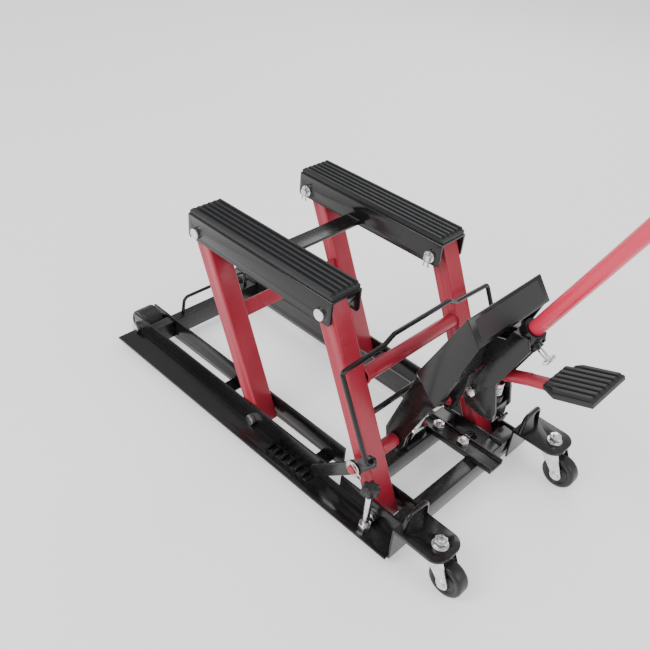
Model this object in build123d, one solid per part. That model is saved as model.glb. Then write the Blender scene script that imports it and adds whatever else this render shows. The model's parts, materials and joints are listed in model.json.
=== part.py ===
from build123d import *
import math
import os

# Foot-pumped motorcycle and ATV lift jack, in millimetres.
# +X points to the pump and casters, -X to the front rollers, +Z is up and the floor is z = 0.
# The origin is on the floor under the middle of the jack's outline.

# ---- settable sizes -------------------------------------------------------
PIN_SPACING = 307.0        # front to rear leg pivots, the same top and bottom
LEG_LENGTH = 366.0         # pin to pin
RAISED_ANGLE = 64.7        # leg elevation above the floor in this pose
REAR_PIVOT_X = 190.0
PIVOT_Z = 31.0
FRAME_FRONT_X = -498.0
FRAME_REAR_X = 258.0
RAIL_BOTTOM_Z = 16.0
RAIL_TOP_Z = 63.0
STEEL = 4.0                # rail and saddle sheet thickness
WEB_Y = 168.0              # outer face of the outer rail's web
FLANGE_Y = 211.0           # outer edge of the outer rail's flange
INNER_RAIL_Y = 117.0       # outer face of the inner rail
LEG_OUT_Y = 163.0
LEG_IN_Y = 121.0
LEG_DEPTH = 34.0
LEG_WALL = 3.0
PIVOT_R = 6.0              # leg pivot bolts and saddle pins
ROLLER_R = 33.0
ROLLER_X = -488.0
SADDLE_OVERHANG = 21.0     # saddle channel beyond its pins
SADDLE_OUT_Y = 169.0
SADDLE_IN_Y = 101.0
SADDLE_BELOW = 14.5
SADDLE_ABOVE = 31.5
PAD_BASE = 7.0
RIB_HEIGHT = 4.0
RIB_COUNT = 6
TRUNNION_S = 99.0          # distance of the pump trunnion up the rear leg
TRUNNION_R = 12.5
ARM_OUT_Y = 89.0
ARM_THICK = 5.0
ARM_STEP = 11.0            # the arm's lower half is set in by this much
CYLINDER_R = 21.0
RAM_R = 11.0
HANDLE_R = 12.5
HANDLE_ANGLE = 63.9
HANDLE_TOP = 489.8         # handle length above the socket's middle
WHEEL_R = 31.5
WHEEL_WIDTH = 26.0
CASTER_X = 326.0
CASTER_Y = 170.0
CASTER_TRAIL = 28.0
STABILISER_X = 194.0
STABILISER_Y = 190.0
SCREW_R = 6.0
ROD_R = 4.2
FIT = 0.05                 # running clearance on the radius
HOLE = 0.4                 # loose bolt hole clearance on the radius

# ---- derived positions ----------------------------------------------------
FRONT_PIVOT_X = REAR_PIVOT_X - PIN_SPACING
COS_LEG = math.cos(math.radians(RAISED_ANGLE))
SIN_LEG = math.sin(math.radians(RAISED_ANGLE))
SADDLE_Z = PIVOT_Z + LEG_LENGTH * SIN_LEG
SADDLE_REAR_X = REAR_PIVOT_X - LEG_LENGTH * COS_LEG
SADDLE_FRONT_X = SADDLE_REAR_X - PIN_SPACING
TX = REAR_PIVOT_X - TRUNNION_S * COS_LEG
TZ = PIVOT_Z + TRUNNION_S * SIN_LEG
FOOT = (TX - 19.7, TZ - 40.5)
TOP_PIN = (TX + 66.3, TZ + 239.5)
RAM_LENGTH = math.dist(FOOT, TOP_PIN)
RAM_TILT = math.degrees(math.atan2(TOP_PIN[0] - FOOT[0], TOP_PIN[1] - FOOT[1]))
SOCKET = (TX + 145.3, TZ + 271.5)
PEDAL_PIVOT = (TX + 92.3, TZ + 141.5)
PLUNGER_X = TX + 120.3
BLOCK_Z = TZ + 99.5
LOCK_END = (TX - 82.0, TZ - 72.5)
LOCK_TOP = (TX + 32.0, TZ + 40.0)

os.makedirs("parts", exist_ok=True)


def save(name, shape):
    """Write one node's solids to its STEP file."""
    solids = shape.solids()
    export_step(Compound(children=list(solids)) if len(solids) > 1 else solids[0], f"parts/{name}.step")
    print(name, len(solids), round(sum(s.volume for s in solids)))


def box(x0, x1, y0, y1, z0, z1):
    """Block between two corners."""
    middle = Pos((x0 + x1) / 2, (y0 + y1) / 2, (z0 + z1) / 2)
    return middle * Box(abs(x1 - x0), abs(y1 - y0), abs(z1 - z0))


def disc_y(x, z, y0, y1, r):
    """Cylinder along Y."""
    return Pos(x, (y0 + y1) / 2, z) * Rot(90, 0, 0) * Cylinder(r, abs(y1 - y0))


def disc_z(x, y, z0, z1, r):
    """Cylinder along Z."""
    return Pos(x, y, (z0 + z1) / 2) * Cylinder(r, abs(z1 - z0))


def hex_y(x, z, y0, y1, r):
    """Hexagonal bolt head or nut along Y."""
    return Pos(x, max(y0, y1), z) * Rot(90, 0, 0) * extrude(RegularPolygon(r, 6), abs(y1 - y0))


def hex_z(x, y, z0, z1, r):
    """Hexagonal nut along Z."""
    return Pos(x, y, z0) * extrude(RegularPolygon(r, 6), z1 - z0)


def bar(p, q, r):
    """Round bar between two points."""
    start = Vector(*p)
    along = Vector(*q) - start
    return Plane(origin=start, z_dir=along) * Pos(0, 0, along.length / 2) * Cylinder(r, along.length)


def bent_rod(points, r, bend=None):
    """Round rod bent through a list of points, with a rounded bend at each."""
    path = FilletPolyline(*points, radius=bend or 1.4 * r)
    return sweep(Plane(origin=path @ 0, z_dir=path % 0) * Circle(r), path)


def plate_xz(points, y0, y1):
    """Flat plate with its outline in X and Z."""
    outline = make_face(Polyline(*points, close=True))
    return Pos(0, max(y0, y1), 0) * Rot(90, 0, 0) * extrude(outline, abs(y1 - y0))


def at_leg(pivot_x, shape):
    """Place a shape drawn with x up the leg and -z towards the rear."""
    return Pos(pivot_x, 0, PIVOT_Z) * Rot(0, RAISED_ANGLE - 180, 0) * shape


def both(make):
    """Make a piece for the left (-1) and the right (+1) side."""
    return make(-1) + make(1)


# ---- base frame -----------------------------------------------------------
def outer_rail(side):
    """Angle iron rail, its web upright and its flange turned outwards."""
    web = box(FRAME_FRONT_X, FRAME_REAR_X, side * (WEB_Y - STEEL), side * WEB_Y, RAIL_BOTTOM_Z, RAIL_TOP_Z)
    flange = box(FRAME_FRONT_X, FRAME_REAR_X, side * (WEB_Y - STEEL), side * FLANGE_Y,
                 RAIL_BOTTOM_Z, RAIL_BOTTOM_Z + STEEL)
    rail = web + flange
    for x, z in ((FRONT_PIVOT_X, PIVOT_Z), (REAR_PIVOT_X, PIVOT_Z), (ROLLER_X, ROLLER_R)):
        rail -= disc_y(x, z, side * 150, side * 180, PIVOT_R + HOLE)
    rail -= box(80, 113, side * 150, side * 180, 35, 80)
    rail -= disc_z(STABILISER_X, side * STABILISER_Y, 0, 40, SCREW_R + 0.8)
    return rail


def inner_rail(side):
    """Flat bar rail inside each pair of legs, notched where the trunnion comes down."""
    rail = box(FRAME_FRONT_X, FRAME_REAR_X - 2, side * (INNER_RAIL_Y - STEEL), side * INNER_RAIL_Y,
               RAIL_BOTTOM_Z, RAIL_TOP_Z)
    for x, z in ((FRONT_PIVOT_X, PIVOT_Z), (REAR_PIVOT_X, PIVOT_Z), (ROLLER_X, ROLLER_R)):
        rail -= disc_y(x, z, side * 100, side * 130, PIVOT_R + HOLE)
    rail -= box(74, 121, side * 100, side * 130, 31, 80)
    return rail


def cross_tube(x0, x1, z0, z1):
    """Rectangular tube between the two inner rails."""
    half = INNER_RAIL_Y - STEEL
    tube = box(x0, x1, -half, half, z0, z1)
    return tube - box(x0 + 3, x1 - 3, -half - 1, half + 1, z0 + 3, z1 - 3)


def spacer(side, x0, x1, z0, z1):
    """Block or strap welded between an inner rail and its outer web."""
    return box(x0, x1, side * INNER_RAIL_Y, side * (WEB_Y - STEEL), z0, z1)


def rail_spacers(side):
    """The four welded links of one side."""
    links = spacer(side, -447, -425, 20, 60)
    links += spacer(side, -240, -210, RAIL_BOTTOM_Z, 20)
    links += spacer(side, 20, 50, RAIL_BOTTOM_Z, 20)
    links += spacer(side, 228, 256, 18, 60)
    return links


def lock_rack(side):
    """Ladder of upright stops on the flange for the safety lock."""
    rack = box(-50, 58, side * 174, side * 194, 20, 22)
    for i in range(6):
        rack += box(-47 + 18 * i, -41 + 18 * i, side * 174, side * 194, 22, 31)
    return rack


def front_rod():
    """Round bar handle standing on the front cross member."""
    points = [(-436, -88, 58), (-436, -82, 99), (-436, 82, 99), (-436, 88, 58)]
    return bent_rod(points, 3.5, 12) & box(-450, -420, -100, 100, 60, 120)


def tie_loop(side):
    """Arched tie-down loop on a caster bracket."""
    x = FRAME_REAR_X + 14
    points = [(x, side * 138, 84), (x, side * 143, 120), (x, side * 189, 120), (x, side * 194, 84)]
    return bent_rod(points, ROD_R, 12) & box(x - 10, x + 10, side * 130, side * 205, 86, 130)


def caster_bracket(side):
    """Bent plate from the rear of a rail to the caster stem."""
    foot = box(FRAME_REAR_X, FRAME_REAR_X + 4, side * 135, side * 205, RAIL_BOTTOM_Z, 86)
    shelf = box(FRAME_REAR_X, CASTER_X + 26, side * 135, side * 205, 80, 86)
    shelf = fillet(shelf.edges().filter_by(Axis.Z).group_by(Axis.X)[-1], 24)
    return foot + shelf - disc_z(CASTER_X, side * CASTER_Y, 70, 90, SCREW_R + HOLE)


def caster_bolt(side):
    """Stem bolt, nut, washer and upper race of a caster."""
    stem = disc_z(CASTER_X, side * CASTER_Y, 64, 102, SCREW_R)
    stem += disc_z(CASTER_X, side * CASTER_Y, 64, 68, 11)
    nut = hex_z(CASTER_X, side * CASTER_Y, 88, 98, 11.5)
    washer = disc_z(CASTER_X, side * CASTER_Y, 86, 88, 14)
    race = disc_z(CASTER_X, side * CASTER_Y, 77.5, 80, 20)
    return stem + nut + washer + race


def frame_bolt(x, z, side):
    """Hexagon bolt through web, leg or roller, and inner rail."""
    shank = disc_y(x, z, side * 100, side * WEB_Y, PIVOT_R)
    return shank + hex_y(x, z, side * WEB_Y, side * (WEB_Y + 8), 11)


def frame_nut(x, z, side):
    """Nut on the inner rail's face."""
    nut = hex_y(x, z, side * 103, side * (INNER_RAIL_Y - STEEL), 11)
    return nut - disc_y(x, z, side * 90, side * 120, PIVOT_R + FIT)


def stabiliser_nut(side):
    """Nut welded on the flange for the levelling screw."""
    nut = hex_z(STABILISER_X, side * STABILISER_Y, 20, 31, 11.5)
    return nut - disc_z(STABILISER_X, side * STABILISER_Y, 10, 40, SCREW_R + FIT)


def ram_foot_bracket():
    """Plate and two ears on the middle cross member that carry the ram's foot pin."""
    x, z = FOOT
    bracket = box(x - 20, x + 22, -32, 32, 60, 64)
    for side in (-1, 1):
        ear = box(x - 14, x + 14, side * 24, side * 29, 64, z) + disc_y(x, z, side * 24, side * 29, 14)
        bracket += ear
    return bracket - disc_y(x, z, -40, 40, 5 + HOLE)


def tongue_channel():
    """Lengthwise channel bolted over the middle and rear cross members."""
    channel = box(120, 284, 34, 72, 60, 66)
    channel += box(120, 284, 34, 38, 66, 72)
    channel += box(120, 284, 68, 72, 66, 72)
    return channel


def tongue_bolts():
    """Two nuts with bolt ends on the tongue channel."""
    shape = hex_z(152, 53, 66, 76, 12) + disc_z(152, 53, 76, 81, SCREW_R)
    shape += hex_z(208, 53, 66, 76, 12) + disc_z(208, 53, 76, 81, SCREW_R)
    return shape


def build_base():
    """All pieces of the welded and bolted base."""
    save("outer_rails", both(outer_rail))
    save("inner_rails", both(inner_rail))
    save("front_cross_member", cross_tube(-447, -425, 20, 60))
    save("middle_cross_member", cross_tube(118, 152, 20, 60))
    save("rear_cross_member", cross_tube(228, 256, 18, 60))
    save("rail_spacers", both(rail_spacers))
    save("lock_racks", both(lock_rack))
    save("tie_down_rods", front_rod() + both(tie_loop))
    save("caster_brackets", both(caster_bracket))
    save("caster_bolts", both(caster_bolt))
    places = ((FRONT_PIVOT_X, PIVOT_Z), (REAR_PIVOT_X, PIVOT_Z), (ROLLER_X, ROLLER_R))
    bolts = disc_y(FOOT[0], FOOT[1], -33, 33, 5) + hex_y(FOOT[0], FOOT[1], -33, -29, 9)
    nuts = tongue_bolts() + both(stabiliser_nut)
    for x, z in places:
        for side in (-1, 1):
            bolts += frame_bolt(x, z, side)
            nuts += frame_nut(x, z, side)
    save("frame_bolts", bolts)
    save("frame_nuts", nuts)
    save("ram_foot_bracket", ram_foot_bracket())
    save("tongue_channel", tongue_channel())


# ---- rollers and casters --------------------------------------------------
def front_roller(side):
    """Wide black roller at the front of a rail pair, with shallow grooves."""
    roller = disc_y(ROLLER_X, ROLLER_R, side * 120, side * 160, ROLLER_R)
    for i in range(3):
        y = side * (130 + 10 * i)
        groove = disc_y(ROLLER_X, ROLLER_R, y - 1, y + 1, ROLLER_R + 1)
        roller -= groove - disc_y(ROLLER_X, ROLLER_R, y - 2, y + 2, ROLLER_R - 1.5)
    return roller - disc_y(ROLLER_X, ROLLER_R, side * 110, side * 170, PIVOT_R + FIT)


def caster_fork(side):
    """Pressed swivel fork with its lower race."""
    axle_x = CASTER_X + CASTER_TRAIL
    y = side * CASTER_Y
    fork = disc_z(CASTER_X, y, 71, 77, 24)
    for edge in (-1, 1):
        outline = [(CASTER_X - 22, 77), (CASTER_X + 20, 77), (axle_x + 11, WHEEL_R + 2),
                   (axle_x + 8, WHEEL_R - 8), (axle_x - 7, WHEEL_R - 9), (axle_x - 12, WHEEL_R + 4)]
        cheek = plate_xz(outline, y + edge * 16, y + edge * 19)
        fork += cheek + disc_y(axle_x, WHEEL_R, y + edge * 16, y + edge * 19, 11)
    fork += box(CASTER_X - 22, CASTER_X + 20, y - 19, y + 19, 72, 77)
    fork -= disc_z(CASTER_X, y, 60, 90, SCREW_R + FIT)
    return fork - disc_y(axle_x, WHEEL_R, y - 30, y + 30, 4 + HOLE)


def caster_axle(side):
    """Axle bolt of a caster wheel with its head and nut."""
    axle_x = CASTER_X + CASTER_TRAIL
    y = side * CASTER_Y
    axle = disc_y(axle_x, WHEEL_R, y - 22, y + 22, 4)
    return axle + hex_y(axle_x, WHEEL_R, y - 23, y - 19, 7) + hex_y(axle_x, WHEEL_R, y + 19, y + 23, 7)


def caster_wheel(side):
    """Solid wheel with a rounded tread and a hub."""
    axle_x = CASTER_X + CASTER_TRAIL
    y = side * CASTER_Y
    wheel = disc_y(axle_x, WHEEL_R, y - WHEEL_WIDTH / 2, y + WHEEL_WIDTH / 2, WHEEL_R)
    wheel = fillet(wheel.edges().filter_by(GeomType.CIRCLE), 5)
    wheel += disc_y(axle_x, WHEEL_R, y - 15.5, y + 15.5, 9)
    return wheel - disc_y(axle_x, WHEEL_R, y - 30, y + 30, 4 + FIT)


def build_wheels():
    """Rollers, forks, axles and wheels."""
    for name, side in (("left", -1), ("right", 1)):
        save(f"front_roller_{name}", front_roller(side))
        save(f"caster_fork_{name}", caster_fork(side))
        save(f"caster_axle_{name}", caster_axle(side))
        save(f"caster_wheel_{name}", caster_wheel(side))


# ---- legs -----------------------------------------------------------------
def leg(pivot_x, side):
    """Square tube leg, cross drilled at both ends, with plugged ends."""
    half = LEG_DEPTH / 2
    tube = box(-15, LEG_LENGTH + 15, side * LEG_IN_Y, side * LEG_OUT_Y, -half, half)
    tube = fillet(tube.edges().filter_by(Axis.X), 4)
    inside = box(-11, LEG_LENGTH + 11, side * (LEG_IN_Y + LEG_WALL), side * (LEG_OUT_Y - LEG_WALL),
                 -half + LEG_WALL, half - LEG_WALL)
    tube -= inside
    for s in (0, LEG_LENGTH):
        tube -= disc_y(s, 0, side * 100, side * 180, PIVOT_R + FIT)
    return at_leg(pivot_x, tube)


def front_leg_cross_bar():
    """Flat bar that ties the two front legs together."""
    return at_leg(FRONT_PIVOT_X, box(191, 220, -LEG_IN_Y, LEG_IN_Y, -8.5, -2.5))


def rear_leg_tube():
    """Round tube that ties the two rear legs together near their middle."""
    tube = disc_y(240, -8, -LEG_IN_Y, LEG_IN_Y, 13)
    tube -= disc_y(240, -8, -LEG_IN_Y - 1, LEG_IN_Y + 1, 10.5)
    return at_leg(REAR_PIVOT_X, tube)


def leg_cross_rod():
    """Plain round rod between the rear legs."""
    return at_leg(REAR_PIVOT_X, disc_y(174, -10, -LEG_IN_Y, LEG_IN_Y, 5))


def leg_trunnion(side):
    """Stub tube on a rear leg that carries the pump arm inside and the lock plate outside."""
    arm_y = ARM_OUT_Y - ARM_STEP
    stub = disc_y(TX, TZ, side * (arm_y + 2), side * LEG_IN_Y, TRUNNION_R)
    stub += disc_y(TX, TZ, side * (arm_y - 9), side * (arm_y + 2), 9)
    outer = disc_y(TX, TZ, side * LEG_OUT_Y, side * 177, 12)
    outer += disc_y(TX, TZ, side * 177, side * 189, 8)
    outer -= bar(clip_point(side, -12, 0), clip_point(side, 12, 0), 1.2)
    return stub + outer


def clip_point(side, u, v):
    """Point in the plane of a hairpin clip, u along its straight leg."""
    c = math.cos(math.radians(-35))
    s = math.sin(math.radians(-35))
    return (TX + c * u - s * v, side * 186.5, TZ + s * u + c * v)


def lock_clip(side):
    """Washer on a lock pivot and the hairpin clip through the pivot's end."""
    washer = disc_y(TX, TZ, side * 182.6, side * 184.6, 14.5) - disc_y(TX, TZ, side * 180, side * 190, 8.2)
    route = ((-15, 0), (15, 0), (20, 2), (21.5, 6), (18, 9.5), (12, 9.7), (-5, 9.7), (-11, 7.5), (-16, 10.5))
    return washer + bent_rod([clip_point(side, u, v) for u, v in route], 0.9, 1.4)


def build_legs():
    """Front and rear leg pairs."""
    for name, side in (("left", -1), ("right", 1)):
        save(f"front_leg_{name}", leg(FRONT_PIVOT_X, side))
        save(f"rear_leg_{name}", leg(REAR_PIVOT_X, side))
    save("front_leg_cross_bar", front_leg_cross_bar())
    save("rear_leg_tube", rear_leg_tube())
    save("leg_cross_rod", leg_cross_rod())
    save("leg_trunnions", both(leg_trunnion))
    save("lock_clips", both(lock_clip))


# ---- saddles --------------------------------------------------------------
def saddle_channel(side):
    """Downward channel over the leg tops."""
    x0 = SADDLE_FRONT_X - SADDLE_OVERHANG
    x1 = SADDLE_REAR_X + SADDLE_OVERHANG
    z0 = SADDLE_Z - SADDLE_BELOW
    z1 = SADDLE_Z + SADDLE_ABOVE
    channel = box(x0, x1, side * SADDLE_IN_Y, side * SADDLE_OUT_Y, z0, z1)
    channel = fillet(channel.edges().filter_by(Axis.X).group_by(Axis.Z)[-1], 3)
    channel = fillet(channel.edges().filter_by(Axis.Y).group_by(Axis.Z)[0], 6)
    channel -= box(x0 - 1, x1 + 1, side * (SADDLE_IN_Y + STEEL), side * (SADDLE_OUT_Y - STEEL), z0 - 1, z1 - STEEL)
    for x in (SADDLE_FRONT_X, SADDLE_REAR_X):
        channel -= disc_y(x, SADDLE_Z, side * 90, side * 180, PIVOT_R + HOLE)
    return channel


def saddle_pad(side):
    """Ribbed rubber pad on top of a saddle channel."""
    x0 = SADDLE_FRONT_X - SADDLE_OVERHANG + 1.5
    x1 = SADDLE_REAR_X + SADDLE_OVERHANG - 1.5
    z0 = SADDLE_Z + SADDLE_ABOVE
    y0 = SADDLE_IN_Y + 2
    width = SADDLE_OUT_Y - SADDLE_IN_Y - 4
    pad = box(x0, x1, side * y0, side * (y0 + width), z0, z0 + PAD_BASE)
    pad = fillet(pad.edges().filter_by(Axis.Z), 4)
    pitch = (width - 6.5) / (RIB_COUNT - 1)
    for i in range(RIB_COUNT):
        y = y0 + 0.5 + i * pitch
        pad += box(x0 + 4, x1 - 4, side * y, side * (y + 5.5), z0 + PAD_BASE, z0 + PAD_BASE + RIB_HEIGHT)
    return pad


def saddle_link_bar():
    """Flat bar welded between the two saddle channels."""
    return box(-166, -130, -SADDLE_IN_Y, SADDLE_IN_Y, SADDLE_Z - 10, SADDLE_Z - 4)


def saddle_pin(x, side):
    """Headed clevis pin with a washer and a cotter at its inner end."""
    pin = disc_y(x, SADDLE_Z, side * 90, side * SADDLE_OUT_Y, PIVOT_R)
    pin += disc_y(x, SADDLE_Z, side * SADDLE_OUT_Y, side * (SADDLE_OUT_Y + 5), 10)
    pin += disc_y(x, SADDLE_Z, side * 98, side * SADDLE_IN_Y, 11)
    for spread in (-6, 5):
        pin += bar((x, side * 94, SADDLE_Z + 10), (x + spread, side * 94, SADDLE_Z - 18), 1.5)
    return pin + Pos(x, side * 94, SADDLE_Z + 10) * Sphere(2.6)


def build_saddles():
    """Channels, pads, link bar and pins."""
    for name, side in (("left", -1), ("right", 1)):
        save(f"saddle_channel_{name}", saddle_channel(side))
        save(f"saddle_pad_{name}", saddle_pad(side))
    save("saddle_link_bar", saddle_link_bar())
    pins = Compound(children=[])
    pins = saddle_pin(SADDLE_FRONT_X, -1)
    pins += saddle_pin(SADDLE_FRONT_X, 1)
    pins += saddle_pin(SADDLE_REAR_X, -1)
    pins += saddle_pin(SADDLE_REAR_X, 1)
    save("saddle_pins", pins)


# ---- pump unit ------------------------------------------------------------
def trunnion_point(dx, dz):
    """Point measured from the trunnion."""
    return (TX + dx, TZ + dz)


def pump_arm(side):
    """Long side plate from the trunnion up to the cover."""
    upper = [trunnion_point(dx, dz) for dx, dz in ((25, 170), (92, 313), (120, 277), (71, 127))]
    offsets = ((20.3, 154.7), (62.7, 113.3), (54, 99), (22, 18), (20, 0), (-20, 0), (-23, 13))
    lower = [trunnion_point(dx, dz) for dx, dz in offsets]
    low_out = ARM_OUT_Y - ARM_STEP
    arm = plate_xz(upper, side * (ARM_OUT_Y - ARM_THICK), side * ARM_OUT_Y)
    arm += plate_xz(lower, side * (low_out - ARM_THICK), side * low_out)
    ends = []
    for corners, y in (((upper[0], upper[3]), ARM_OUT_Y), ((lower[0], lower[1]), low_out)):
        (xa, za), (xb, zb) = corners
        inside = side * (y - ARM_THICK)
        loop = Polyline((xa, side * y, za), (xb, side * y, zb), (xb, inside, zb), (xa, inside, za), close=True)
        ends.append(make_face(loop))
    arm += loft(ends, ruled=True)
    arm += disc_y(TX, TZ, side * (low_out - ARM_THICK), side * low_out, 20)
    return arm - disc_y(TX, TZ, side * 60, side * 100, 9 + FIT)


def pump_cover():
    """Cross plate over the tops of the arms, facing up and to the rear."""
    offsets = ((92, 313), (120, 277), (123.2, 279.5), (95.2, 315.5))
    cover = plate_xz([trunnion_point(dx, dz) for dx, dz in offsets], -95, 95)
    return cover


def pump_crosshead():
    """Plate between the arms that holds the pump bracket."""
    return box(TX + 92.3, TX + 97.3, -(ARM_OUT_Y - ARM_THICK), ARM_OUT_Y - ARM_THICK, TZ + 195, TZ + 262)


def pump_bracket(side):
    """Side plate that carries the pump block, the pedal and the handle socket."""
    offsets = ((97.3, 255), (97.3, 192), (80, 165), (77, 122), (86, 107), (134, 107),
               (140, 122), (128, 175), (165, 262), (158, 282), (132, 282), (124, 262))
    plate = plate_xz([trunnion_point(dx, dz) for dx, dz in offsets], side * 18.5, side * 23.5)
    return plate - disc_y(PEDAL_PIVOT[0], PEDAL_PIVOT[1], side * 10, side * 30, 5 + HOLE)


def pump_block():
    """Pump body with the upright barrel for the plunger."""
    block = box(PLUNGER_X - 22, PLUNGER_X + 16, -18.5, 18.5, BLOCK_Z, BLOCK_Z + 30)
    block += disc_z(PLUNGER_X, 0, BLOCK_Z + 30, BLOCK_Z + 42, 13)
    block -= disc_z(PLUNGER_X, 0, BLOCK_Z + 15, BLOCK_Z + 60, 7 + FIT)
    return block - Pos(PLUNGER_X + 10, 0, BLOCK_Z + 7.5) * Rot(0, 90, 0) * Cylinder(5 + FIT, 40)


def plunger():
    """Pump plunger with its spring cap."""
    rod = disc_z(PLUNGER_X, 0, BLOCK_Z + 25, BLOCK_Z + 62, 7)
    return rod + disc_z(PLUNGER_X, 0, BLOCK_Z + 61, BLOCK_Z + 66, 10)


def plunger_spring():
    """Coil spring around the plunger."""
    helix = Helix(pitch=3.6, height=16.2, radius=9.0)
    start = helix @ 0
    wire = sweep(Plane(origin=start, z_dir=helix % 0) * Circle(1.0), helix)
    return Pos(PLUNGER_X, 0, BLOCK_Z + 43.4) * wire


def release_valve():
    """Release valve stem with a cross bar to turn it by."""
    z = BLOCK_Z + 7.5
    stem = Pos(PLUNGER_X + 9, 0, z) * Rot(0, 90, 0) * Cylinder(5, 34)
    return stem + bar((PLUNGER_X + 23, -12, z), (PLUNGER_X + 23, 12, z), 2.5)


def handle_axis(t, offset=0.0):
    """Point along the handle from the socket's middle, and off its axis to the rear."""
    c = math.cos(math.radians(HANDLE_ANGLE))
    s = math.sin(math.radians(HANDLE_ANGLE))
    return (SOCKET[0] + c * t + s * offset, 0, SOCKET[1] + s * t - c * offset)


def handle_socket():
    """Collar that the handle is clamped in, with a boss for the thumb bolt."""
    collar = bar(handle_axis(-20), handle_axis(20), 18)
    collar += bar(handle_axis(0, 10), handle_axis(0, 25), 9)
    collar -= bar(handle_axis(-30), handle_axis(30), HANDLE_R + FIT)
    return collar - bar(handle_axis(0, 5), handle_axis(0, 40), 4 + FIT)


def handle_tube():
    """Long handle tube with a closed rounded top."""
    tube = bar(handle_axis(-32), handle_axis(HANDLE_TOP), HANDLE_R)
    tube += Pos(*handle_axis(HANDLE_TOP)) * Sphere(HANDLE_R)
    return tube - bar(handle_axis(-33), handle_axis(HANDLE_TOP - 6), HANDLE_R - 2)


def thumb_bolt():
    """T-headed bolt that clamps the handle in its socket."""
    shank = bar(handle_axis(0, HANDLE_R + 0.3), handle_axis(0, 46), 4)
    x, _, z = handle_axis(0, 47)
    return shank + bar((x, -13, z), (x, 13, z), 3.5)


def pedal_arm():
    """Bent tube lever from the pedal pivot to the foot pad."""
    px, pz = PEDAL_PIVOT
    route = [(px, 0, pz), (px - 6, 0, pz + 25), (px + 22, 0, pz + 38), (px + 75, 0, pz + 60),
             (px + 112, 0, pz + 72), (px + 150, 0, pz + 83)]
    arm = bent_rod(route, 10.5, 13)
    arm += disc_y(px, pz, -14, 14, 11)
    arm -= disc_y(px, pz, -30, 30, 5 + FIT)
    plate = Pos(*PAD_CENTRE) * Rot(0, -PAD_SLOPE, 0) * extrude(pad_outline(9), 5)
    return arm + plate - (Pos(*PAD_CENTRE) * Rot(0, -PAD_SLOPE, 0) * box(-80, 80, -60, 60, 5, 40))


PAD_SLOPE = 20.0
PAD_CENTRE = (PEDAL_PIVOT[0] + 153, 0, PEDAL_PIVOT[1] + 90)


def pad_outline(inset=0.0):
    """Tapered outline of the foot pad."""
    points = [(-43 + inset, -28 + inset), (-16, -47 + inset), (44 - inset, -47 + inset),
              (44 - inset, 47 - inset), (-16, 47 - inset), (-43 + inset, 28 - inset)]
    return make_face(Polyline(*points, close=True))


def pedal_pad():
    """Ribbed rubber foot pad."""
    pad = Pos(0, 0, 5) * extrude(pad_outline(), 9)
    for i in range(7):
        y = -43.5 + i * 13
        x0 = -40 + 1.45 * max(0, abs(y + 4.5) - 24)
        pad += box(x0, 42, y, y + 9, 14, 17.5)
    return Pos(*PAD_CENTRE) * Rot(0, -PAD_SLOPE, 0) * pad


def pedal_bolt():
    """Pivot bolt of the pedal with its head and nut."""
    x, z = PEDAL_PIVOT
    bolt = disc_y(x, z, -24, 24, 5)
    return bolt + hex_y(x, z, -30, -23.5, 9) + hex_y(x, z, 23.5, 30, 9)


def along_ram(shape):
    """Place a shape drawn along Z with its origin at the cylinder's top pin."""
    return Pos(TOP_PIN[0], 0, TOP_PIN[1]) * Rot(0, RAM_TILT, 0) * shape


def lift_cylinder():
    """Hydraulic cylinder hung from its top pin."""
    cylinder = disc_z(0, 0, -175, -12, CYLINDER_R) + disc_z(0, 0, -186, -172, 24)
    cylinder += box(-13, 13, -17, 17, -14, 0) + disc_y(0, 0, -17, 17, 13)
    cylinder -= disc_z(0, 0, -190, -24, RAM_R + FIT)
    return along_ram(cylinder - disc_y(0, 0, -30, 30, 8 + FIT))


def ram():
    """Chromed ram with a shoe that stands over the bracket's pin and can rock on it."""
    foot_z = -RAM_LENGTH
    rod = disc_z(0, 0, foot_z + 14, foot_z + 182, RAM_R)
    rod += box(-17, 17, -20, 20, foot_z - 3, foot_z + 20)
    rod -= box(-6.5, 13.5, -21, 21, foot_z - 10, foot_z + 6.3)
    return along_ram(rod)


def cylinder_pin():
    """Pin welded between the arms, with two collars, that the cylinder hangs from."""
    x, z = TOP_PIN
    half = ARM_OUT_Y - ARM_THICK
    return disc_y(x, z, -half, half, 8) + disc_y(x, z, -24, -18, 12) + disc_y(x, z, 18, 24, 12)


def build_pump():
    """Every piece of the pump unit."""
    save("pump_arms", both(pump_arm))
    save("pump_cover", pump_cover())
    save("pump_crosshead", pump_crosshead())
    save("pump_bracket", both(pump_bracket))
    save("pump_block", pump_block())
    save("plunger", plunger())
    save("plunger_spring", plunger_spring())
    save("release_valve", release_valve())
    save("handle_socket", handle_socket())
    save("handle_tube", handle_tube())
    save("thumb_bolt", thumb_bolt())
    save("pedal_arm", pedal_arm())
    save("pedal_pad", pedal_pad())
    save("pedal_bolt", pedal_bolt())
    save("lift_cylinder", lift_cylinder())
    save("ram", ram())
    save("cylinder_pin", cylinder_pin())


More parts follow.
